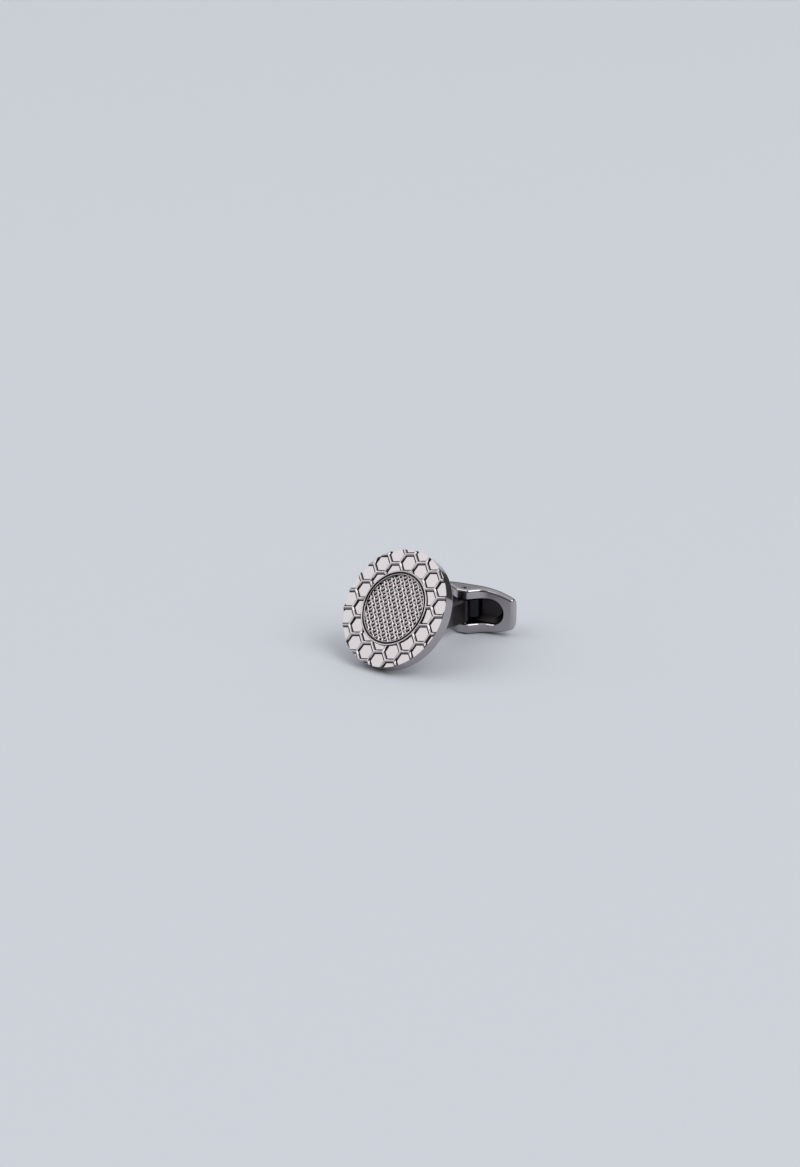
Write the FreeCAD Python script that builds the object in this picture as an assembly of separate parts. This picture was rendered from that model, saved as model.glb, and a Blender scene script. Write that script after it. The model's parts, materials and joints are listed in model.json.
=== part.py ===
import FreeCAD, Part
import math
import os

from FreeCAD import Placement, Rotation, Vector

# Swivel-back cufflink, in millimetres, lying on a table as it is put down:
# on the rim of its face and on the side of its toggle, with +Z up.
# Each piece is built about its own reference point and then placed.

# Face plate: the plain plate, and the honeycomb that stands on its front
face_radius = 9.0
plate_thickness = 1.9
plate_back_edge_bevel = 0.22
cell_pitch = 2.71
cell_turn = 45.0
cell_shift_right = 0.31
cell_shift_up = 0.21
ridge_height = 0.30
ridge_foot_width = 0.76
ridge_shoulder_width = 0.52
ridge_crest_width = 0.26
ridge_shoulder_drop = 0.10

# Woven centre and the double-bead bezel that holds it in a round seat
seat_radius = 5.75
seat_depth = 0.45
inset_radius = 5.40
inset_thickness = 0.40
wire_pitch = 0.575
wire_turn = 39.4
wire_shift = 0.009
wire_height = 0.20
wire_crest_width = 0.14
bezel_opening_radius = 5.12
bezel_height_over_plate = 0.36
bead_height = 0.16
bead_flats = 3
setting_clearance = 0.02

# Stem: a blade, straight at the knuckle, then bent to meet the plate square
stem_bend = 35.0
stem_bend_radius = 20.0
stem_straight = 2.45
blade_thickness = 1.25
blade_width = 3.76
blade_edge_bevel = 0.30
blade_even_length = 8.6
root_thickness = 2.4
root_width = 5.2
root_fillet_radius = 0.7
root_overlap = 0.5
tenon_depth = 0.40
knuckle_radius = 0.74
knuckle_rim_bevel = 0.25

# Pivot pin, fixed in the toggle's ears and turning in the stem's eye
pin_radius = 0.42
pin_end_recess = 0.20
pin_fixed_clearance = 0.01
pin_running_clearance = 0.04

# Toggle: a shallow boat with a round-ended hollow and two ears on its sides
toggle_length = 15.1
toggle_middle_width = 7.08
toggle_end_width = 4.70
toggle_flat_length = 3.6
toggle_end_depth = 1.90
toggle_middle_depth = 2.25
pin_to_rim = 0.72
ear_front = 0.80
ear_crest_length = 1.7
ear_foot_length = 5.6
ear_crest_radius = 0.55
ear_foot_radius = 2.2
back_edge_radius = 1.40
outer_edge_radius = 0.45
hollow_length = 12.0
knuckle_side_clearance = 0.12
hollow_depth = 1.62
hollow_floor_bevel = 0.75
hollow_mouth_bevel = 0.12

# Leaf spring, bowed from the hollow's floor up to the knuckle
spring_thickness = 0.22
spring_width = 2.7
spring_span = 4.0
spring_gap = 0.05

# How far the toggle is turned from square across the stem as it lies
toggle_turn = 18.0

# Worked out from the sizes above
bend = math.radians(stem_bend)
toggle_half_length = toggle_length / 2
toggle_half_width = toggle_middle_width / 2
hollow_half_width = blade_width / 2 + knuckle_side_clearance
rim_y = pin_to_rim
hollow_floor_y = rim_y + hollow_depth
crest_z = plate_thickness + ridge_height
plate_rise = stem_bend_radius * (1 - math.cos(bend))
plate_reach = stem_straight + stem_bend_radius * math.sin(bend)
to_plate = Vector(0, -1, 0)
reach_past = 1.0
fitting_tolerance = 0.001
smooth_angle = 5.0


def plate_placement():
    """Where the middle of the plate's back lies from the pivot, and how it leans."""
    return Placement(Vector(0, -plate_reach, plate_rise), Rotation(Vector(1, 0, 0), 90 - stem_bend))


def hexagon(centre, across_flats, z):
    """A honeycomb cell's outline at a height over the plate's back."""
    corner_radius = across_flats / math.sqrt(3)
    corners = []
    for corner in range(6):
        angle = math.radians(cell_turn + 30 + 60 * corner)
        offset = Vector(corner_radius * math.cos(angle), corner_radius * math.sin(angle), z)
        corners.append(centre + offset)
    return Part.makePolygon(corners + corners[:1])


def cell_pocket(centre):
    """One cell's hollow: a flat floor, drafted walls and a bevel at the crest."""
    shoulder_z = crest_z - ridge_shoulder_drop
    bevel_slope = (ridge_shoulder_width - ridge_crest_width) / ridge_shoulder_drop
    open_width = cell_pitch - ridge_crest_width + bevel_slope * ridge_shoulder_drop
    outlines = [
        hexagon(centre, cell_pitch - ridge_foot_width, plate_thickness),
        hexagon(centre, cell_pitch - ridge_shoulder_width, shoulder_z),
        hexagon(centre, open_width, crest_z + ridge_shoulder_drop),
    ]
    return Part.makeLoft(outlines, True, True)


def cell_centres():
    """Centres of the cells that reach the face, with a cell corner near its middle."""
    first = math.radians(cell_turn)
    second = math.radians(cell_turn + 60)
    along = Vector(math.cos(first), math.sin(first), 0) * cell_pitch
    across = Vector(math.cos(second), math.sin(second), 0) * cell_pitch
    corner = Vector(cell_shift_right, cell_shift_up, 0)
    middle = corner + (along + across) * (1 / 3)
    count = math.ceil(2 * face_radius / cell_pitch)
    centres = []
    for i in range(-count, count + 1):
        for j in range(-count, count + 1):
            centre = along * i + across * j + middle
            if seat_radius - cell_pitch < centre.Length < face_radius + cell_pitch / 2:
                centres.append(centre)
    return centres


def make_face_disc():
    """The round plate with its honeycomb front and the seat for the woven centre."""
    plate = Part.makeCylinder(face_radius, crest_z)
    back_edges = [e for e in plate.Edges if e.BoundBox.ZMax < plate_thickness / 2]
    plate = plate.makeChamfer(plate_back_edge_bevel, back_edges)
    seat = Part.makeCylinder(seat_radius, crest_z, Vector(0, 0, plate_thickness - seat_depth))
    pockets = [cell_pocket(centre) for centre in cell_centres()]
    return plate.cut(pockets + [seat])


def make_mesh_inset():
    """The disc of woven wire: a solid bed with one rib for each cross wire."""
    valley_z = inset_thickness - wire_height
    count = math.ceil(inset_radius / wire_pitch)
    side = (count + 1) * wire_pitch
    outline = [Vector(-side, -side, 0), Vector(-side, -side, valley_z)]
    for wire in range(-count, count + 1):
        middle = wire * wire_pitch + wire_shift
        outline.append(Vector(-side, middle - wire_pitch / 2, valley_z))
        outline.append(Vector(-side, middle - wire_crest_width / 2, inset_thickness))
        outline.append(Vector(-side, middle + wire_crest_width / 2, inset_thickness))
    outline += [Vector(-side, side, valley_z), Vector(-side, side, 0)]
    ribs = Part.Face(Part.makePolygon(outline + outline[:1])).extrude(Vector(2 * side, 0, 0))
    ribs.rotate(Vector(0, 0, 0), Vector(0, 0, 1), wire_turn)
    inset = ribs.common(Part.makeCylinder(inset_radius, inset_thickness))
    inset.translate(Vector(0, 0, plate_thickness - seat_depth))
    return inset


def make_bezel_ring():
    """A ring with a rebate over the inset's edge and two round beads on its top."""
    floor_z = plate_thickness - seat_depth
    lip_z = floor_z + inset_thickness
    top_z = plate_thickness + bezel_height_over_plate
    outer = seat_radius - setting_clearance
    rebate = inset_radius + setting_clearance
    bead_width = (outer - bezel_opening_radius) / 2
    groove_z = top_z - bead_height
    outline = []
    for bead in range(2):
        middle = outer - bead_width * (bead + 0.5)
        for corner in range(bead_flats):
            turn = math.pi * corner / bead_flats
            rise = bead_height * math.sin(turn) / math.sin(math.pi / bead_flats)
            outline.append(Vector(middle + bead_width / 2 * math.cos(turn), 0, groove_z + rise))
    outline.append(Vector(bezel_opening_radius, 0, groove_z))
    outline.append(Vector(bezel_opening_radius, 0, lip_z))
    outline.append(Vector(rebate, 0, lip_z))
    outline.append(Vector(rebate, 0, floor_z))
    outline.append(Vector(outer, 0, floor_z))
    section = Part.Face(Part.makePolygon(outline + outline[:1]))
    return section.revolve(Vector(0, 0, 0), Vector(0, 0, 1), 360)


def stem_point(length, offset):
    """A point beside the bent stem's middle line: length along it, offset across it."""
    turned = length / stem_bend_radius
    radius = stem_bend_radius - offset
    return Vector(
        0,
        -stem_straight - radius * math.sin(turned),
        stem_bend_radius - radius * math.cos(turned),
    )


def bent_edge(start, end, along):
    """An arc that leaves its start in a direction, in line with the straight run, and meets its end."""
    run = (end - start).dot(along)
    rise = end - start - along * run
    radius = (run * run + rise.Length * rise.Length) / (2 * rise.Length)
    half_turn = math.asin(run / radius) / 2
    across = rise.normalize()
    sideways = across * (radius * (1 - math.cos(half_turn)))
    middle = start + sideways + along * (radius * math.sin(half_turn))
    return Part.Arc(start, middle, end).toShape()


def stem_side_shape():
    """The blade seen across its thickness: a straight run, then a bend that widens."""
    bent_length = stem_bend_radius * bend
    outer = []
    for side in (1, -1):
        knuckle_corner = Vector(0, 0, side * blade_width / 2)
        start = stem_point(0, side * blade_width / 2)
        end = stem_point(bent_length + root_overlap, side * root_width / 2)
        outer.append((knuckle_corner, start, end))
    (top, upper_start, upper_end), (bottom, lower_start, lower_end) = outer
    outline = Part.Wire(
        [
            Part.makeLine(bottom, top),
            Part.makeLine(top, upper_start),
            bent_edge(upper_start, upper_end, to_plate),
            Part.makeLine(upper_end, lower_end),
            bent_edge(lower_start, lower_end, to_plate),
            Part.makeLine(lower_start, bottom),
        ]
    )
    block = Part.Face(outline).extrude(Vector(root_thickness, 0, 0))
    block.translate(Vector(-root_thickness / 2, 0, 0))
    return block


def stem_plan_shape():
    """The blade seen from above: even as far as the toggle reaches, then thicker."""
    far_y = -plate_reach - root_width
    height = plate_rise + 2 * root_width
    half = blade_thickness / 2
    right, left = Vector(half, 0, 0), Vector(-half, 0, 0)
    right_even, left_even = Vector(half, -blade_even_length, 0), Vector(-half, -blade_even_length, 0)
    right_far, left_far = Vector(root_thickness / 2, far_y, 0), Vector(-root_thickness / 2, far_y, 0)
    outline = Part.Wire(
        [
            Part.makeLine(left, right),
            Part.makeLine(right, right_even),
            bent_edge(right_even, right_far, to_plate),
            Part.makeLine(right_far, left_far),
            bent_edge(left_even, left_far, to_plate),
            Part.makeLine(left_even, left),
        ]
    )
    block = Part.Face(outline).extrude(Vector(0, 0, height))
    block.translate(Vector(0, 0, -root_width))
    return block


def with_root_fillet(blade):
    """The blade cut off at the plate's back, with a fillet spreading towards it."""
    on_face = plate_placement()
    side = 2 * face_radius
    slab = Part.makeBox(side, side, 2 * root_overlap, Vector(-side / 2, -side / 2, 0))
    slab.Placement = on_face
    joined = blade.fuse(slab)
    to_face = on_face.inverse()
    root_edges = []
    for edge in joined.Edges:
        place = to_face.multVec(edge.CenterOfMass)
        if abs(place.z) < fitting_tolerance and max(abs(place.x), abs(place.y)) < root_width:
            root_edges.append(edge)
    return joined.makeFillet(root_fillet_radius, root_edges).cut(slab)


def stem_tenon(blade):
    """The end of the blade that is let into the plate's back and brazed there."""
    on_face = plate_placement()
    to_face = on_face.inverse()
    ends = [f for f in blade.Faces if abs(to_face.multVec(f.CenterOfMass).z) < fitting_tolerance]
    into_plate = on_face.Rotation.multVec(Vector(0, 0, tenon_depth))
    return ends[0].extrude(into_plate)


def make_blade():
    """The bent blade with bevelled edges and its filleted root."""
    blade = stem_side_shape().common(stem_plan_shape())
    long_edges = [e for e in blade.Edges if e.BoundBox.YLength > e.BoundBox.ZLength + e.BoundBox.XLength]
    return with_root_fillet(blade.makeChamfer(blade_edge_bevel, long_edges))


def make_stem(blade):
    """The blade with its tenon, round knuckle and eye."""
    knuckle = Part.makeCylinder(knuckle_radius, blade_width, Vector(0, 0, -blade_width / 2))
    rim_edges = [e for e in knuckle.Edges if e.BoundBox.ZLength < blade_width / 2]
    knuckle = knuckle.makeChamfer(knuckle_rim_bevel, rim_edges)
    eye = Part.makeCylinder(
        pin_radius + pin_running_clearance,
        blade_width + 2 * reach_past,
        Vector(0, 0, -blade_width / 2 - reach_past),
    )
    return blade.fuse([knuckle, stem_tenon(blade)]).removeSplitter().cut(eye)


def upright_edges(block, x):
    """The block's edges along the pin's direction at a distance either side of the pin."""
    upright = [e for e in block.Edges if e.BoundBox.ZLength > toggle_half_width]
    return [e for e in upright if abs(abs(e.CenterOfMass.x) - x) < fitting_tolerance]


def toggle_side_shape():
    """The toggle seen along its pin: flat rim, humped ears, slightly bowed back."""
    end_y = rim_y + toggle_end_depth
    crown_y = rim_y + toggle_middle_depth
    front = [
        Vector(toggle_half_length, end_y, 0),
        Vector(toggle_half_length, rim_y, 0),
        Vector(ear_foot_length / 2, rim_y, 0),
        Vector(ear_crest_length / 2, -ear_front, 0),
        Vector(-ear_crest_length / 2, -ear_front, 0),
        Vector(-ear_foot_length / 2, rim_y, 0),
        Vector(-toggle_half_length, rim_y, 0),
        Vector(-toggle_half_length, end_y, 0),
    ]
    back = Part.Arc(front[-1], Vector(0, crown_y, 0), front[0]).toShape()
    face = Part.Face(Part.Wire(Part.makePolygon(front).Edges + [back]))
    block = face.extrude(Vector(0, 0, toggle_middle_width))
    block.translate(Vector(0, 0, -toggle_half_width))
    block = block.makeFillet(ear_crest_radius, upright_edges(block, ear_crest_length / 2))
    return block.makeFillet(ear_foot_radius, upright_edges(block, ear_foot_length / 2))


def toggle_barrel():
    """The toggle seen square to its back: flat-sided at the pin, narrower at its ends."""
    low = -ear_front - reach_past
    quarter = [
        Vector(0, low, toggle_half_width),
        Vector(toggle_flat_length / 2, low, toggle_half_width),
        Vector(toggle_half_length, low, toggle_end_width / 2),
        Vector(toggle_half_length, low, 0),
    ]
    edges = []
    for x_side in (1, -1):
        for z_side in (1, -1):
            mirrored = [Vector(p.x * x_side, p.y, p.z * z_side) for p in quarter]
            middle, flat_end, corner, end_middle = mirrored
            edges.append(Part.makeLine(middle, flat_end))
            edges.append(bent_edge(flat_end, corner, Vector(x_side, 0, 0)))
            edges.append(Part.makeLine(corner, end_middle))
    outline = Part.Wire(Part.sortEdges(edges)[0])
    depth = rim_y + toggle_middle_depth - low + reach_past
    return Part.Face(outline).extrude(Vector(0, depth, 0)).removeSplitter()


def toggle_hollow():
    """The round-ended hollow, with a bevel where its floor meets its wall."""
    straight_half = hollow_length / 2 - hollow_half_width
    top_y = -ear_front - reach_past
    depth = hollow_floor_y - top_y
    middle = Part.makeBox(
        2 * straight_half,
        depth,
        2 * hollow_half_width,
        Vector(-straight_half, top_y, -hollow_half_width),
    )
    ends = [
        Part.makeCylinder(hollow_half_width, depth, Vector(x, top_y, 0), Vector(0, 1, 0))
        for x in (-straight_half, straight_half)
    ]
    hollow = middle.fuse(ends).removeSplitter()
    floor_edges = [e for e in hollow.Edges if e.BoundBox.YMin > hollow_floor_y - fitting_tolerance]
    return hollow.makeChamfer(hollow_floor_bevel, floor_edges)


def mouth_edges(toggle):
    """The edges where the hollow's wall meets the rim and the ears' fronts."""
    edges = []
    for edge in toggle.Edges:
        box = edge.BoundBox
        in_width = max(-box.ZMin, box.ZMax) < hollow_half_width + fitting_tolerance
        in_length = max(-box.XMin, box.XMax) < hollow_length / 2 + fitting_tolerance
        upright = max(box.XLength, box.ZLength) < fitting_tolerance
        if in_width and in_length and not upright and box.YMax < rim_y + fitting_tolerance:
            edges.append(edge)
    return edges


def back_edges(body):
    """The edges between the toggle's bowed back and its two sides."""
    side_edges = [e for e in body.Edges if e.BoundBox.XLength > fitting_tolerance]
    return [e for e in side_edges if e.BoundBox.YMin > rim_y + toggle_end_depth / 2]


def sharp_edges(body):
    """The edges at which two faces meet at an angle."""
    edges = []
    for edge in body.Edges:
        middle = edge.valueAt((edge.FirstParameter + edge.LastParameter) / 2)
        faces = body.ancestorsOfType(edge, Part.Face)
        first, second = [face.normalAt(*face.Surface.parameter(middle)) for face in faces]
        if first.getAngle(second) > math.radians(smooth_angle):
            edges.append(edge)
    return edges


def make_toggle():
    """The toggle with rounded edges, its hollow and the pin's holes in its ears."""
    body = toggle_side_shape().common(toggle_barrel())
    body = body.makeFillet(back_edge_radius, back_edges(body))
    body = body.makeFillet(outer_edge_radius, sharp_edges(body)).cut(toggle_hollow())
    body = body.makeChamfer(hollow_mouth_bevel, mouth_edges(body))
    hole = Part.makeCylinder(
        pin_radius + pin_fixed_clearance,
        toggle_middle_width + 2 * reach_past,
        Vector(0, 0, -toggle_half_width - reach_past),
    )
    return body.cut(hole)


def make_pivot_pin():
    """The plain pin, its ends a little below the ears' outsides."""
    length = toggle_middle_width - 2 * pin_end_recess
    return Part.makeCylinder(pin_radius, length, Vector(0, 0, -length / 2))


def make_friction_spring():
    """A bowed leaf: its ends on the hollow's floor, its middle at the knuckle."""
    crest_y = knuckle_radius + spring_gap
    foot_y = hollow_floor_y
    half = spring_span / 2
    front = Part.Arc(
        Vector(-half, foot_y - spring_thickness, 0),
        Vector(0, crest_y, 0),
        Vector(half, foot_y - spring_thickness, 0),
    )
    back = Part.Arc(
        Vector(half, foot_y, 0),
        Vector(0, crest_y + spring_thickness, 0),
        Vector(-half, foot_y, 0),
    )
    ends = [
        Part.makeLine(Vector(half, foot_y - spring_thickness, 0), Vector(half, foot_y, 0)),
        Part.makeLine(Vector(-half, foot_y, 0), Vector(-half, foot_y - spring_thickness, 0)),
    ]
    outline = Part.Wire([front.toShape(), ends[0], back.toShape(), ends[1]])
    leaf = Part.Face(outline).extrude(Vector(0, 0, spring_width))
    leaf.translate(Vector(0, 0, -spring_width / 2))
    return leaf


def placed(shape, placement):
    """A copy of the shape, moved by the placement."""
    moved = shape.copy()
    moved.Placement = placement.multiply(moved.Placement)
    return moved


def assemble():
    """All pieces about the pivot, then moved so that the middle of the floor is the origin."""
    on_face = plate_placement()
    on_toggle = Placement(Vector(0, 0, 0), Rotation(Vector(0, 0, 1), toggle_turn))
    blade = make_blade()
    pieces = {
        "face_disc": placed(make_face_disc(), on_face).cut(stem_tenon(blade)),
        "mesh_inset": placed(make_mesh_inset(), on_face),
        "bezel_ring": placed(make_bezel_ring(), on_face),
        "stem": make_stem(blade),
        "toggle": placed(make_toggle(), on_toggle),
        "pivot_pin": placed(make_pivot_pin(), on_toggle),
        "friction_spring": placed(make_friction_spring(), on_toggle),
    }
    box = Part.makeCompound(list(pieces.values())).optimalBoundingBox(False)
    to_floor = Vector(-box.Center.x, -box.Center.y, -box.ZMin)
    for piece in pieces.values():
        piece.translate(to_floor)
    return pieces, to_floor


os.makedirs("parts", exist_ok=True)
all_pieces, pivot = assemble()
for name, shape in all_pieces.items():
    shape.exportStep(f"parts/{name}.step")
    print(name, len(shape.Solids), shape.isValid(), round(shape.Volume, 3))
print("pivot", [round(value, 4) for value in pivot])
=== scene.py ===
import json
import math

import bmesh
import bpy
from mathutils import Matrix, Vector


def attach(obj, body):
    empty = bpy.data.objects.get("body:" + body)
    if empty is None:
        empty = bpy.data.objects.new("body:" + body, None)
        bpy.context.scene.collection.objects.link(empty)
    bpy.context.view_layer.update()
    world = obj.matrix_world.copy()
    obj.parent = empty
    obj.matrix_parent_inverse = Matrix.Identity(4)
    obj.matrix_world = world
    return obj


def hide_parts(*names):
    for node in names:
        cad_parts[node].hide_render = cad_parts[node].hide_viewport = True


bl_info = {
    "name": "Swivel-back cufflink",
    "version": (1, 0, 0),
    "blender": (4, 5, 0),
    "location": "3D View > Sidebar > Cufflink",
    "description": "Dresses the cufflink's solids as polished gunmetal with a woven-wire centre",
    "category": "Add Mesh",
}

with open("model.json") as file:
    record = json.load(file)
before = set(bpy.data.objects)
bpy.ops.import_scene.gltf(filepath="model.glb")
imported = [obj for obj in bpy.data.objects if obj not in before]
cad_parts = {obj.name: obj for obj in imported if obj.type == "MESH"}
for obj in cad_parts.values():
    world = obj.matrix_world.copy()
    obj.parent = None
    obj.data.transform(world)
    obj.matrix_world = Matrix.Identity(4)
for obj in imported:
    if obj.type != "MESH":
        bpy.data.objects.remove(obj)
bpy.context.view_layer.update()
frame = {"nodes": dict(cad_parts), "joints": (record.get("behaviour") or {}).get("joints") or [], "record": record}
nodes = frame["nodes"]

# Pieces are modelled in millimetres about their own reference point, then brought to metres in place.
MM = 0.001
rest_face = next(m for m in frame["record"]["mounts"] if m["name"] == "cuff_rest")
plate_back = Vector((0, rest_face["pos_m"][1], rest_face["pos_m"][2]))
face_lean = math.atan2(rest_face["axis"][1], -rest_face["axis"][2])
face_place = Matrix.Translation(plate_back) @ Matrix.Rotation(face_lean, 4, "X")
pivot = Vector(frame["joints"][0]["pos_m"])
# Halfway between its stops the toggle lies square across the stem.
swing = frame["record"]["behaviour"]["joints"][0]["range_deg"]
toggle_turn = -math.radians(sum(swing) / 2)


def length(name, description, millimetres):
    """A size that a user may change, shown in the scene's own unit."""
    return bpy.props.FloatProperty(
        name=name, description=description, default=millimetres * MM, unit="LENGTH", precision=5
    )


def colour(name, description, code):
    """A colour that a user may change, written as an sRGB hex value."""
    return bpy.props.FloatVectorProperty(
        name=name, description=description, default=linear(code), subtype="COLOR", size=3, min=0, max=1
    )


def linear(code):
    """An sRGB hex value as linear red, green and blue."""
    parts = [int(code[i : i + 2], 16) / 255 for i in (1, 3, 5)]
    return tuple(p / 12.92 if p <= 0.04045 else ((p + 0.055) / 1.055) ** 2.4 for p in parts)


class FaceSizes(bpy.types.PropertyGroup):
    """Sizes of the face plate, its honeycomb and its bezel."""

    radius: length("Face radius", "Half the width of the round face", 9.0)
    thickness: length("Plate thickness", "From the back to the floor of the cells", 1.9)
    back_edge: length("Back edge", "Rounding of the plate's back edge", 0.28)
    cell_pitch: length("Cell pitch", "From one honeycomb cell to the next", 2.71)
    cell_turn: bpy.props.FloatProperty(
        name="Cell turn",
        description="Turn of the honeycomb in the face",
        default=math.radians(45),
        subtype="ANGLE",
    )
    cell_shift_right: length("Cell shift right", "From the face's middle to the nearest cell corner", 0.31)
    cell_shift_up: length("Cell shift up", "From the face's middle to the nearest cell corner", 0.21)
    ridge_height: length("Ridge height", "From the floor of the cells to the crest", 0.30)
    seat_radius: length("Seat radius", "Half the width of the seat for the woven centre", 5.75)
    seat_depth: length("Seat depth", "How far the seat lies below the cells", 0.45)
    bezel_outer: length("Bezel outer radius", "Half the outer width of the bezel", 5.73)
    bezel_opening: length("Bezel opening radius", "Half the width of the opening", 5.12)
    bezel_rebate: length("Bezel rebate radius", "Half the width under the bezel's lip", 5.42)
    bezel_height: length("Bezel height", "How far the outer bead stands over the cells", 0.27)
    outer_bead: length("Outer bead width", "Width of the bezel's outer bead", 0.22)
    inner_bead: length("Inner bead width", "Width of the bezel's inner bead", 0.13)
    bead_height: length("Bead height", "How far the round of a bead rises", 0.06)
    groove_depth: length("Groove depth", "How far the groove lies below the outer bead's top", 0.25)
    bead_drop: length("Bead drop", "How far the inner bead lies below the outer one", 0.03)


class WeaveSizes(bpy.types.PropertyGroup):
    """Sizes of the woven centre."""

    turn: bpy.props.FloatProperty(
        name="Weave turn",
        description="Direction of the cross wires in the face",
        default=math.radians(39.4),
        subtype="ANGLE",
    )
    repeat_across: length("Repeat across", "From one pair of long wires to the next", 1.353)
    repeat_along: length("Repeat along", "Two cross wires", 1.150)
    cross_wire: length("Cross wire radius", "Half the thickness of the cross wires", 0.18)
    long_wire: length("Long wire radius", "Half the thickness of the long wires", 0.145)
    pair_gap: length("Pair half gap", "Half the distance between the wires of a pair", 0.27)
    radius: length("Woven radius", "Where the wires end, under the bezel's lip", 5.26)


class ToggleSizes(bpy.types.PropertyGroup):
    """Where the toggle's hollow lies, for the painted shade inside it."""

    # The hollow's start marks where the painted shade inside the toggle begins.
    hollow_start: length("Hollow start", "From the pin's middle to where the polish ends", 0.95)
    hollow_floor: length("Hollow floor", "From the pin's middle to just under the hollow's floor", 2.45)
    hollow_length: length("Hollow length", "Just over the hollow's length", 12.3)
    hollow_width: length("Hollow width", "Just over the hollow's width", 4.24)


class Colours(bpy.types.PropertyGroup):
    """Colours of the metals, of the painted shade in corners and hollows, and of the floor."""

    gunmetal: colour("Gunmetal", "Black nickel plating", "#b2adaf")
    wire: colour("Wire", "Plated wire", "#c6bebf")
    steel: colour("Steel", "Pin", "#8a8786")
    # Painted shade: the spring is painted nearly black to stand in for the shade inside the toggle's hollow.
    spring_shade: colour("Blued steel", "Spring", "#2b2b2e")
    # Painted shade: the hollow colour darkens the inside of the toggle and the stem near its eye.
    hollow: colour("Hollow", "Dull plating inside the toggle and at the stem's eye", "#454142")
    # Painted shade: the corner colour darkens the foot of the ridges and beads.
    corner: colour("Corner", "Dark plating at the foot of the ridges and beads", "#2c2728")
    floor: colour("Floor", "Seamless paper", "#cbced5")


def in_object_mode():
    """Leaves edit mode and deselects every object."""
    if bpy.context.object and bpy.context.object.mode != "OBJECT":
        bpy.ops.object.mode_set(mode="OBJECT")
    bpy.ops.object.select_all(action="DESELECT")


def only(piece):
    """Selects one object alone and makes it the active one."""
    in_object_mode()
    piece.select_set(True)
    bpy.context.view_layer.objects.active = piece


def apply_modifier(piece, kind, **settings):
    """Adds a modifier with its settings and applies it."""
    only(piece)
    modifier = piece.modifiers.new(kind.title(), kind)
    for key, value in settings.items():
        setattr(modifier, key, value)
    bpy.ops.object.modifier_apply(modifier=modifier.name)


def repeat(piece, count, step, merge):
    """Repeats a piece in a row, and merges the copies where they meet if asked to."""
    apply_modifier(
        piece,
        "ARRAY",
        count=count,
        use_relative_offset=False,
        use_constant_offset=True,
        constant_offset_displace=step,
        use_merge_vertices=merge,
        merge_threshold=0.001,
    )


def lathe(name, outline, steps):
    """A solid turned about Z from an outline of (radius, height) points in millimetres."""
    in_object_mode()
    bpy.ops.mesh.primitive_plane_add(size=1, location=(0, 0, 0))
    piece = bpy.context.object
    piece.name = name
    bpy.ops.object.mode_set(mode="EDIT")
    bpy.ops.mesh.select_mode(type="VERT")
    bpy.ops.mesh.select_all(action="SELECT")
    bpy.ops.mesh.merge(type="CENTER")
    bpy.ops.mesh.select_all(action="SELECT")
    start = outline[0]
    bpy.ops.transform.translate(value=(start[0], 0, start[1]))
    for here, there in zip(outline, outline[1:]):
        step = (there[0] - here[0], 0, there[1] - here[1])
        bpy.ops.mesh.extrude_region_move(TRANSFORM_OT_translate={"value": step})
    bpy.ops.mesh.select_all(action="SELECT")
    bpy.ops.mesh.spin(steps=steps, angle=math.tau, center=(0, 0, 0), axis=(0, 0, 1))
    bpy.ops.mesh.select_all(action="SELECT")
    bpy.ops.mesh.remove_doubles(threshold=0.0005)
    bpy.ops.mesh.normals_make_consistent(inside=False)
    bpy.ops.object.mode_set(mode="OBJECT")
    return piece


def seat_floor():
    """Height of the seat's floor over the plate's back, in millimetres."""
    sizes = bpy.context.scene.cufflink_face
    return (sizes.thickness - sizes.seat_depth) / MM


def arc(centre, radii, start, end, count):
    """Points of an arc, or of a flattened one, from one angle to another in degrees."""
    points = []
    for i in range(count + 1):
        angle = math.radians(start + (end - start) * i / count)
        points.append((centre[0] + radii[0] * math.cos(angle), centre[1] + radii[1] * math.sin(angle)))
    return points


def settle(piece, place, body, material, node, smooth):
    """Shades a finished piece, brings it to its place in metres and puts it in the place of its solid."""
    only(piece)
    bpy.ops.object.shade_smooth_by_angle(angle=math.radians(smooth))
    apply_modifier(piece, "WEIGHTED_NORMAL", keep_sharp=True, weight=80)
    piece.matrix_world = place @ Matrix.Scale(MM, 4)
    only(piece)
    bpy.ops.object.transform_apply(location=True, rotation=True, scale=True)
    piece.data.materials.clear()
    piece.data.materials.append(material)
    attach(piece, body)
    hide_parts(node)


def add_node(material, kind, links=(), **settings):
    """Adds a shader node, sets its sockets and properties, and links (socket, output) pairs into it."""
    tree = material.node_tree
    node = tree.nodes.new(kind)
    for key, value in settings.items():
        if key in node.inputs:
            node.inputs[key].default_value = value
        else:
            setattr(node, key, value)
    for socket, output in links:
        tree.links.new(output, node.inputs[socket])
    return node


def new_material(name):
    """A new material and its principled shader."""
    material = bpy.data.materials.new(name)
    material.use_nodes = True
    return material, material.node_tree.nodes["Principled BSDF"]


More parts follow.
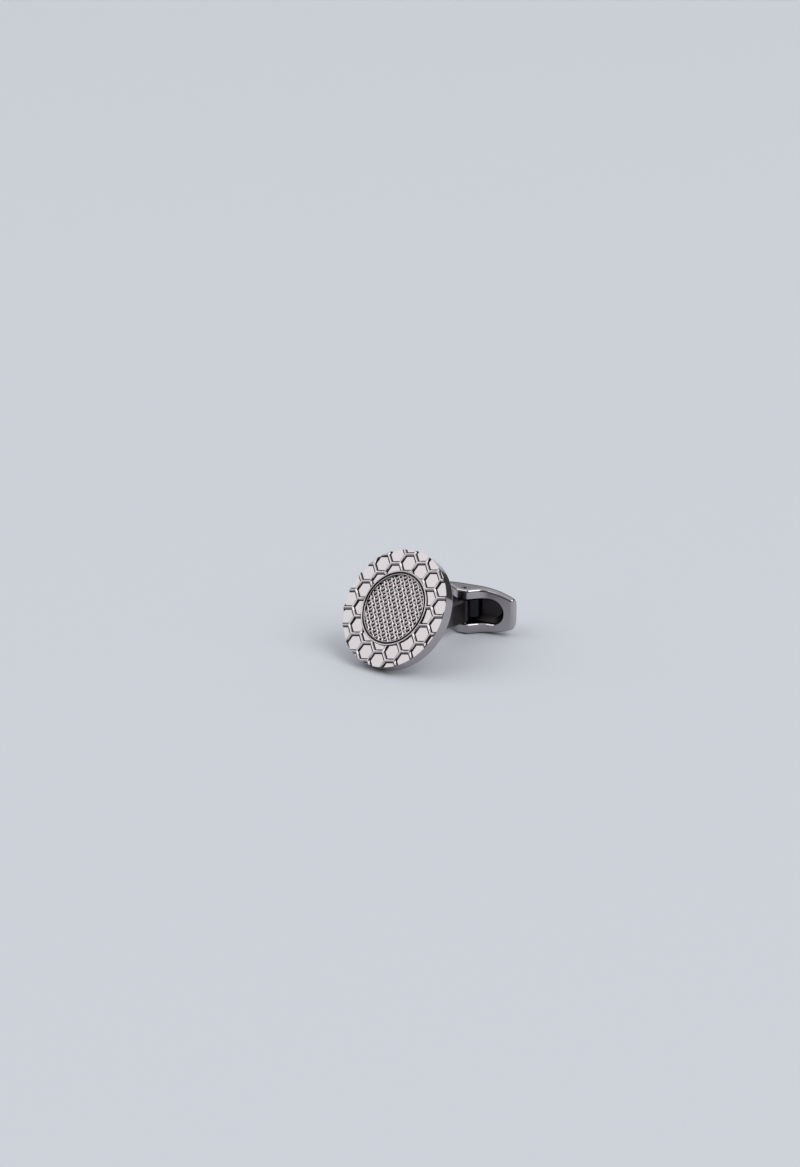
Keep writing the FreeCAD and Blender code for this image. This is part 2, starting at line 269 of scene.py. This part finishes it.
def worked_metal(name, tint, roughness, ripple_size, ripple):
    """A metal whose reflections waver very slightly and whose sheen is uneven in faint patches."""
    patch_size = 1.6 * MM
    ripple_depth = 0.02 * MM
    material, shader = new_material(name)
    shader.inputs["Metallic"].default_value = 1.0
    shader.inputs["Base Color"].default_value = (*tint, 1)
    place = add_node(material, "ShaderNodeTexCoord")
    haze = add_node(
        material,
        "ShaderNodeTexNoise",
        [("Vector", place.outputs["Object"])],
        Scale=1 / patch_size,
        Detail=3.0,
    )
    spread = add_node(
        material,
        "ShaderNodeMapRange",
        [("Value", haze.outputs["Fac"])],
        **{"From Min": 0.3, "From Max": 0.7, "To Min": roughness * 0.8, "To Max": roughness * 1.3},
    )
    waver = add_node(
        material,
        "ShaderNodeTexNoise",
        [("Vector", place.outputs["Object"])],
        Scale=1 / ripple_size,
        Detail=1.0,
    )
    bump = add_node(
        material,
        "ShaderNodeBump",
        [("Height", waver.outputs["Fac"])],
        Strength=ripple,
        Distance=ripple_depth,
    )
    links = material.node_tree.links
    links.new(spread.outputs["Result"], shader.inputs["Roughness"])
    links.new(bump.outputs["Normal"], shader.inputs["Normal"])
    return material


def polished_plating(name):
    """Black nickel over polished brass: a dark mirror that shows the room nearly sharp."""
    tint = bpy.context.scene.cufflink_colours.gunmetal
    return worked_metal(name, tint, roughness=0.07, ripple_size=2.5 * MM, ripple=0.15)


def paint_shade_where(material, mask, shade_tint, rougher):
    """Paints shade where the mask is 1: the plating turns darker there, and also rougher."""
    links = material.node_tree.links
    shader = material.node_tree.nodes["Principled BSDF"]
    polish = shader.inputs["Roughness"].links[0].from_socket
    tint = add_node(material, "ShaderNodeValToRGB", [("Fac", mask)])
    tint.color_ramp.elements[0].color = shader.inputs["Base Color"].default_value
    tint.color_ramp.elements[1].color = (*shade_tint, 1)
    rough = add_node(material, "ShaderNodeMath", [(0, mask), (2, polish)], operation="MULTIPLY_ADD")
    rough.inputs[1].default_value = rougher
    links.new(tint.outputs["Color"], shader.inputs["Base Color"])
    links.new(rough.outputs["Value"], shader.inputs["Roughness"])


def face_plating():
    """Polished, with painted shade in the corners, which draws each ridge and bead with a black line at its foot.
    """
    name = "black_nickel_painted_shade_in_corners"
    if name in bpy.data.materials:
        return bpy.data.materials[name]
    # Heights over the floor of the cells where the painted shade starts, is full, fades and ends.
    starts, full, fades, ends = 0.002 * MM, 0.010 * MM, 0.16 * MM, 0.20 * MM
    sizes = bpy.context.scene.cufflink_face
    material = polished_plating(name)
    outward = face_place.to_3x3() @ Vector((0, 0, 1))
    cells = plate_back.dot(outward) + sizes.thickness
    place = add_node(material, "ShaderNodeTexCoord")
    height = add_node(
        material, "ShaderNodeVectorMath", [(0, place.outputs["Object"])], operation="DOT_PRODUCT"
    )
    height.inputs[1].default_value = outward
    over_floor = add_node(
        material,
        "ShaderNodeMapRange",
        [("Value", height.outputs["Value"])],
        **{"From Min": cells + starts, "From Max": cells + full},
    )
    under_bevel = add_node(
        material,
        "ShaderNodeMapRange",
        [("Value", height.outputs["Value"])],
        **{"From Min": cells + ends, "From Max": cells + fades},
    )
    corner = add_node(
        material,
        "ShaderNodeMath",
        [(0, over_floor.outputs["Result"]), (1, under_bevel.outputs["Result"])],
        operation="MULTIPLY",
    )
    # Painted shade: the corner colour darkens the foot of each ridge and bead.
    shade_tint = bpy.context.scene.cufflink_colours.corner
    paint_shade_where(material, corner.outputs["Value"], shade_tint, rougher=0.2)
    return material


def toggle_plating():
    """Polished, but with painted shade inside the hollow, darker and rougher there, so it looks nearly black."""
    sizes = bpy.context.scene.cufflink_toggle
    material = polished_plating("black_nickel_painted_shade_in_hollow")
    depth = (sizes.hollow_start + sizes.hollow_floor) / 2
    place = add_node(material, "ShaderNodeTexCoord")
    # The hollow becomes a cube from -1 to 1, along, into and across the toggle.
    in_hollow = add_node(
        material,
        "ShaderNodeMapping",
        [("Vector", place.outputs["Object"])],
        vector_type="TEXTURE",
        Location=pivot + Matrix.Rotation(toggle_turn, 3, "Z") @ Vector((0, depth, 0)),
        Rotation=(0, 0, toggle_turn),
        Scale=(sizes.hollow_length / 2, sizes.hollow_floor - depth, sizes.hollow_width / 2),
    )
    from_middle = add_node(
        material, "ShaderNodeVectorMath", [(0, in_hollow.outputs["Vector"])], operation="ABSOLUTE"
    )
    along = add_node(material, "ShaderNodeSeparateXYZ", [(0, from_middle.outputs["Vector"])])
    farthest = along.outputs["X"]
    for axis in ("Y", "Z"):
        farther = add_node(
            material, "ShaderNodeMath", [(0, farthest), (1, along.outputs[axis])], operation="MAXIMUM"
        )
        farthest = farther.outputs["Value"]
    mask = add_node(
        material, "ShaderNodeMapRange", [("Value", farthest)], **{"From Min": 1.0, "From Max": 0.95}
    )
    # Painted shade: the hollow colour darkens the inside of the hollow.
    shade_tint = bpy.context.scene.cufflink_colours.hollow
    paint_shade_where(material, mask.outputs["Result"], shade_tint, rougher=0.35)
    return material


def stem_plating():
    """Polished, but rougher towards the eye, with painted shade that darkens the stem where it goes into the
    toggle.
    """
    polished_beyond = 8.5 * MM
    shaded_within = 3.2 * MM
    material = polished_plating("black_nickel_painted_shade_at_eye")
    place = add_node(material, "ShaderNodeTexCoord")
    from_pin = add_node(
        material, "ShaderNodeVectorMath", [(0, place.outputs["Object"])], operation="DISTANCE"
    )
    from_pin.inputs[1].default_value = pivot
    mask = add_node(
        material,
        "ShaderNodeMapRange",
        [("Value", from_pin.outputs["Value"])],
        **{"From Min": polished_beyond, "From Max": shaded_within},
    )
    # Painted shade: the hollow colour darkens the stem near its eye.
    shade_tint = bpy.context.scene.cufflink_colours.hollow
    paint_shade_where(material, mask.outputs["Result"], shade_tint, rougher=0.3)
    return material


def plated_wire():
    """Drawn wire, plated once it is woven: a soft sheen that breaks up along each wire."""
    tint = bpy.context.scene.cufflink_colours.wire
    return worked_metal("plated_drawn_wire", tint, roughness=0.22, ripple_size=0.4 * MM, ripple=0.2)


def drawn_steel():
    """Plain drawn steel: the pin's end is a grey dot, duller than the plating round it."""
    tint = bpy.context.scene.cufflink_colours.steel
    return worked_metal("drawn_spring_steel", tint, roughness=0.28, ripple_size=0.3 * MM, ripple=0.3)


def shaded_spring_steel():
    """Spring steel, painted nearly black as shade inside the toggle's hollow, with a cold sheen."""
    tint = bpy.context.scene.cufflink_colours.spring_shade
    return worked_metal("spring_steel_painted_dark", tint, roughness=0.2, ripple_size=0.3 * MM, ripple=0.2)


def honeycomb_block(sizes):
    """A block whose top is the honeycomb: narrow-crested ridges with bevelled sides round sunk cells."""
    pitch = sizes.cell_pitch / MM
    crest = (sizes.thickness + sizes.ridge_height) / MM
    turn = sizes.cell_turn
    cells_each_way = 9
    under_plate = 1
    along = Vector((math.cos(turn), math.sin(turn), 0)) * pitch
    across = Vector((math.cos(turn + math.pi / 3), math.sin(turn + math.pi / 3), 0)) * pitch
    corner = Vector((sizes.cell_shift_right, sizes.cell_shift_up, 0)) / MM
    first = corner + (along + across) * (1 / 3 - (cells_each_way - 1) / 2)
    in_object_mode()
    bpy.ops.mesh.primitive_circle_add(
        vertices=6,
        radius=pitch / math.sqrt(3),
        fill_type="NGON",
        location=(first.x, first.y, crest),
        rotation=(0, 0, turn),
    )
    block = bpy.context.object
    bpy.ops.object.transform_apply(location=True, rotation=True, scale=True)
    for step in (along, across):
        repeat(block, cells_each_way, step, merge=True)
    only(block)
    bpy.ops.object.mode_set(mode="EDIT")
    bpy.ops.mesh.select_mode(type="FACE")
    bpy.ops.mesh.select_all(action="SELECT")
    bpy.ops.mesh.normals_make_consistent(inside=False)
    # Each pair is a step in from the ridge's middle line and a step down from its crest.
    ridge_steps = (
        (0.045, 0.0),
        (0.015, 0.003),
        (0.045, 0.017),
        (0.015, 0.010),
        (0.145, 0.150),
        (0.045, 0.070),
        (0.032, 0.034),
        (0.038, 0.016),
    )
    deep = sizes.ridge_height / MM / sum(down for _, down in ridge_steps)
    for inward, down in ridge_steps:
        bpy.ops.mesh.inset(thickness=inward, depth=-down * deep, use_individual=True)
    # The stepped top is carried down past the plate's back and flattened there.
    bpy.ops.mesh.select_all(action="SELECT")
    bpy.ops.mesh.extrude_region_move(
        TRANSFORM_OT_translate={"value": (0, 0, -crest - 2 * under_plate)}
    )
    bpy.ops.transform.resize(value=(1, 1, 0), center_override=(0, 0, -under_plate))
    bpy.ops.mesh.select_all(action="SELECT")
    bpy.ops.mesh.normals_make_consistent(inside=False)
    bpy.ops.object.mode_set(mode="OBJECT")
    return block


class CUFFLINK_OT_face_plate(bpy.types.Operator):
    """Turns the round plate with its seat, and cuts its front to the honeycomb"""

    bl_idname = "cufflink.face_plate"
    bl_label = "Face plate"

    def execute(self, context):
        sizes = context.scene.cufflink_face
        radius = sizes.radius / MM
        edge = sizes.back_edge / MM
        allowance = 0.2
        over_crest = (sizes.thickness + sizes.ridge_height) / MM + allowance
        seat = sizes.seat_radius / MM
        outline = [(0, 0)]
        outline += arc((radius - edge, edge), (edge, edge), start=-90, end=0, count=6)
        outline += [(radius, over_crest), (seat, over_crest), (seat, seat_floor()), (0, seat_floor())]
        plate = lathe("face_plate", outline, steps=288)
        block = honeycomb_block(sizes)
        apply_modifier(plate, "BOOLEAN", operation="INTERSECT", object=block, solver="EXACT")
        bpy.data.objects.remove(block)
        settle(plate, face_place, "face", face_plating(), "face_disc", smooth=38)
        return {"FINISHED"}


class CUFFLINK_OT_bezel(bpy.types.Operator):
    """Turns the bezel with two round beads, a groove between them and a lip over the woven centre"""

    bl_idname = "cufflink.bezel"
    bl_label = "Bezel ring"

    def execute(self, context):
        sizes = context.scene.cufflink_face
        outer = sizes.bezel_outer / MM
        inner = sizes.bezel_opening / MM
        rebate = sizes.bezel_rebate / MM
        floor = seat_floor()
        inset_edge = 0.40
        lip = floor + inset_edge
        bead = sizes.bead_height / MM
        broad = sizes.outer_bead / MM / 2
        narrow = sizes.inner_bead / MM / 2
        top = (sizes.thickness + sizes.bezel_height) / MM
        groove = top - sizes.groove_depth / MM
        drop = sizes.bead_drop / MM
        outline = [(rebate, lip), (rebate, floor), (outer, floor)]
        outline += arc((outer - broad, top - bead), (broad, bead), start=0, end=180, count=12)
        outline += [(outer - 2 * broad, groove), (inner + 2 * narrow, groove)]
        outline += arc((inner + narrow, top - drop - bead), (narrow, bead), start=0, end=180, count=12)
        outline += [(inner, lip), (rebate, lip)]
        ring = lathe("bezel_beads", outline, steps=256)
        settle(ring, face_place, "face", face_plating(), "bezel_ring", smooth=50)
        return {"FINISHED"}


def wire_bed(name, radius, flatness, path, along, aside, counts, place):
    """Copies of one wavy wire side by side, from the path of one repeat in millimetres."""
    in_object_mode()
    bpy.ops.mesh.primitive_circle_add(
        vertices=10, radius=radius, fill_type="NOTHING", location=(0, 0, 0), rotation=(0, math.pi / 2, 0)
    )
    wire = bpy.context.object
    wire.name = name
    wire.scale = (flatness, 1, 1)
    bpy.ops.object.transform_apply(location=True, rotation=True, scale=True)
    bpy.ops.object.mode_set(mode="EDIT")
    bpy.ops.mesh.select_mode(type="VERT")
    bpy.ops.mesh.select_all(action="SELECT")
    bpy.ops.transform.translate(value=path[0])
    for here, there in zip(path, path[1:]):
        bpy.ops.mesh.extrude_region_move(TRANSFORM_OT_translate={"value": there - here})
    bpy.ops.object.mode_set(mode="OBJECT")
    repeat(wire, counts[0], along, merge=True)
    repeat(wire, counts[1], aside, merge=False)
    wire.matrix_world = place
    only(wire)
    bpy.ops.object.transform_apply(location=True, rotation=True, scale=True)
    return wire


def cut_round(piece, radius):
    """Cuts off what lies outside a round outline and closes the cut ends."""
    only(piece)
    bpy.ops.object.mode_set(mode="EDIT")
    bpy.ops.mesh.select_mode(type="VERT")
    bpy.ops.mesh.select_all(action="DESELECT")
    mesh = bmesh.from_edit_mesh(piece.data)
    for vertex in mesh.verts:
        vertex.select_set(vertex.co.xy.length > radius)
    bmesh.update_edit_mesh(piece.data)
    bpy.ops.mesh.delete(type="VERT")
    bpy.ops.mesh.select_all(action="SELECT")
    bpy.ops.mesh.fill_holes(sides=0)
    bpy.ops.mesh.normals_make_consistent(inside=False)
    bpy.ops.object.mode_set(mode="OBJECT")


class CUFFLINK_OT_weave(bpy.types.Operator):
    """Weaves the centre: wavy cross wires, and pairs of long wires that hold them down"""

    bl_idname = "cufflink.weave"
    bl_label = "Woven centre"

    def execute(self, context):
        sizes = context.scene.cufflink_weave
        across = sizes.repeat_across / MM
        along = sizes.repeat_along / MM
        floor = seat_floor()
        pair = sizes.pair_gap / MM
        # Where the first pair of long wires and the first cross wire lie from the face's middle.
        pair_at = 0.56 * across
        cross_at = -0.492 * along
        # Middle height of the wires over the seat's floor, and how far they sway and dip.
        cross_height, cross_sway, cross_dip = 0.22, 0.089, 0.05
        long_height, long_sway = 0.28, 0.05
        # Where in a repeat each wire sways farthest.
        cross_crest, long_crest = 0.56, 0.155
        # Repeats in each wire, how many wires lie side by side, and how many of them before the middle one.
        repeats = 10
        cross_count, cross_before = 20, 9
        pair_count, pairs_before = 9, 4
        steps = 16
        shares = [i / steps for i in range(steps + 1)]
        lie_across = Matrix.Rotation(sizes.turn, 4, "Z")
        # The long wires run square to the cross wires.
        lie_along = lie_across @ Matrix(((0, 1, 0, 0), (-1, 0, 0, 0), (0, 0, 1, 0), (0, 0, 0, 1)))
        path = []
        for share in shares:
            wave = math.cos(math.tau * (share - cross_crest))
            aside = cross_at + cross_sway * wave - cross_before * along / 2
            height = floor + cross_height - cross_dip * wave
            path.append(Vector((across * (share - repeats / 2), aside, height)))
        cross = wire_bed(
            "cross_wires",
            radius=sizes.cross_wire / MM,
            flatness=0.9,
            path=path,
            along=Vector((across, 0, 0)),
            aside=Vector((0, along / 2, 0)),
            counts=(repeats, cross_count),
            place=lie_across,
        )
        long_wires = []
        for name, side in (("long_wires_left", -1), ("long_wires_right", 1)):
            path = []
            for share in shares:
                wave = math.cos(math.tau * (share - long_crest))
                aside = pair_at + side * (pair + long_sway * wave) - pairs_before * across
                path.append(Vector((along * (share - repeats / 2), aside, floor + long_height)))
            wires = wire_bed(
                name,
                radius=sizes.long_wire / MM,
                flatness=1.0,
                path=path,
                along=Vector((along, 0, 0)),
                aside=Vector((0, across, 0)),
                counts=(repeats, pair_count),
                place=lie_along,
            )
            long_wires.append(wires)
        for wires in [cross] + long_wires:
            cut_round(wires, sizes.radius / MM)
        in_object_mode()
        for wires in long_wires:
            wires.select_set(True)
        cross.select_set(True)
        bpy.context.view_layer.objects.active = cross
        bpy.ops.object.join()
        cross.name = "woven_wires"
        settle(cross, face_place, "face", plated_wire(), "mesh_inset", smooth=60)
        return {"FINISHED"}


class CUFFLINK_OT_plain_solids(bpy.types.Operator):
    """Gives the solids whose shape is already right their metal"""

    bl_idname = "cufflink.plain_solids"
    bl_label = "Stem, toggle, pin and spring"

    def execute(self, context):
        for name, material in (
            ("stem", stem_plating()),
            ("toggle", toggle_plating()),
            ("pivot_pin", drawn_steel()),
            ("friction_spring", shaded_spring_steel()),
        ):
            nodes[name].data.materials.clear()
            nodes[name].data.materials.append(material)
        return {"FINISHED"}


class CUFFLINK_OT_stage(bpy.types.Operator):
    """Lays the floor, and sets the lights and the camera"""

    bl_idname = "cufflink.stage"
    bl_label = "Stage"

    def execute(self, context):
        scene = context.scene
        floor_width = 6
        in_object_mode()
        bpy.ops.mesh.primitive_plane_add(size=floor_width, location=(0, 0, 0))
        floor = context.object
        floor.name = "seamless_paper"
        # Matt paper: one pale, even tone with soft shadows and hardly any shine.
        paper, shader = new_material("matt_seamless_paper")
        shader.inputs["Base Color"].default_value = (*scene.cufflink_colours.floor, 1)
        shader.inputs["Roughness"].default_value = 0.8
        shader.inputs["Specular IOR Level"].default_value = 0.2
        floor.data.materials.append(paper)
        self.light_room(scene)
        self.aim_camera(scene)
        scene.view_settings.view_transform = "Standard"
        return {"FINISHED"}

    def light_room(self, scene):
        """A pale room that is dark low down towards the front, and two large softboxes far off."""
        front = (0.675, -0.738, 0)
        room_colour = (0.97, 0.98, 1.0, 1)
        world = bpy.data.worlds.new("studio_room")
        scene.world = world
        world.use_nodes = True
        room = world.node_tree.nodes["Background"]
        direction = add_node(world, "ShaderNodeTexCoord")
        height = add_node(world, "ShaderNodeSeparateXYZ", [(0, direction.outputs["Generated"])])
        to_front = add_node(
            world,
            "ShaderNodeVectorMath",
            [(0, direction.outputs["Generated"])],
            operation="DOT_PRODUCT",
        )
        to_front.inputs[1].default_value = front
        dark_up_to = add_node(
            world,
            "ShaderNodeMapRange",
            [("Value", to_front.outputs["Value"])],
            **{"From Min": -0.5, "From Max": 0.45, "To Min": 0.25, "To Max": 0.62},
        )
        over_dark = add_node(
            world,
            "ShaderNodeMath",
            [(0, height.outputs["Z"]), (1, dark_up_to.outputs["Result"])],
            operation="SUBTRACT",
        )
        pale = add_node(
            world,
            "ShaderNodeMapRange",
            [("Value", over_dark.outputs["Value"])],
            interpolation_type="SMOOTHSTEP",
            **{"From Min": -0.12, "From Max": 0.3, "To Min": 0.08, "To Max": 0.72},
        )
        world.node_tree.links.new(pale.outputs["Result"], room.inputs["Strength"])
        room.inputs["Color"].default_value = room_colour
        for name, place, wide, high, radiance in (
            ("left_softbox", (-4.3, -6.1, 6.7), 10.0, 9.0, 1.2),
            ("right_softbox", (7.3, 1.0, 6.8), 9.0, 8.0, 2.75),
        ):
            in_object_mode()
            bpy.ops.object.light_add(type="AREA", location=place)
            lamp = bpy.context.object
            lamp.name = name
            lamp.data.shape = "RECTANGLE"
            lamp.data.size = wide
            lamp.data.size_y = high
            lamp.data.energy = radiance * math.pi * wide * high
            lamp.rotation_euler = (-Vector(place)).to_track_quat("-Z", "Y").to_euler()

    def aim_camera(self, scene):
        """A short telephoto lens from the right of the face, a little above it."""
        azimuth, elevation, distance = math.radians(42.43), math.radians(20.8), 0.4194
        target = Vector((-0.01217, 0.007166, 0.004979))
        back = Vector(
            (
                math.sin(azimuth) * math.cos(elevation),
                -math.cos(azimuth) * math.cos(elevation),
                math.sin(elevation),
            )
        )
        in_object_mode()
        bpy.ops.object.camera_add(location=target + back * distance)
        camera = bpy.context.object
        camera.rotation_euler = (-back).to_track_quat("-Z", "Y").to_euler()
        camera.data.lens = 85
        camera.data.sensor_width = 36
        camera.data.clip_start = 0.01
        scene.camera = camera


class CUFFLINK_PT_panel(bpy.types.Panel):
    """Lists the cufflink's pieces"""

    bl_idname = "CUFFLINK_PT_panel"
    bl_label = "Cufflink"
    bl_space_type = "VIEW_3D"
    bl_region_type = "UI"
    bl_category = "Cufflink"

    def draw(self, context):
        for operator in operators:
            self.layout.operator(operator.bl_idname)
        for name in groups:
            group = getattr(context.scene, name)
            for key in group.__annotations__:
                self.layout.prop(group, key)


operators = (
    CUFFLINK_OT_face_plate,
    CUFFLINK_OT_bezel,
    CUFFLINK_OT_weave,
    CUFFLINK_OT_plain_solids,
    CUFFLINK_OT_stage,
)
groups = {
    "cufflink_face": FaceSizes,
    "cufflink_weave": WeaveSizes,
    "cufflink_toggle": ToggleSizes,
    "cufflink_colours": Colours,
}


def register():
    for name, group in groups.items():
        bpy.utils.register_class(group)
        setattr(bpy.types.Scene, name, bpy.props.PointerProperty(type=group))
    for operator in operators:
        bpy.utils.register_class(operator)
    bpy.utils.register_class(CUFFLINK_PT_panel)


def unregister():
    bpy.utils.unregister_class(CUFFLINK_PT_panel)
    for operator in reversed(operators):
        bpy.utils.unregister_class(operator)
    for name, group in groups.items():
        delattr(bpy.types.Scene, name)
        bpy.utils.unregister_class(group)


def main():
    register()
    bpy.ops.cufflink.stage()
    bpy.ops.cufflink.face_plate()
    bpy.ops.cufflink.bezel()
    bpy.ops.cufflink.weave()
    bpy.ops.cufflink.plain_solids()


if __name__ == "__main__":
    main()
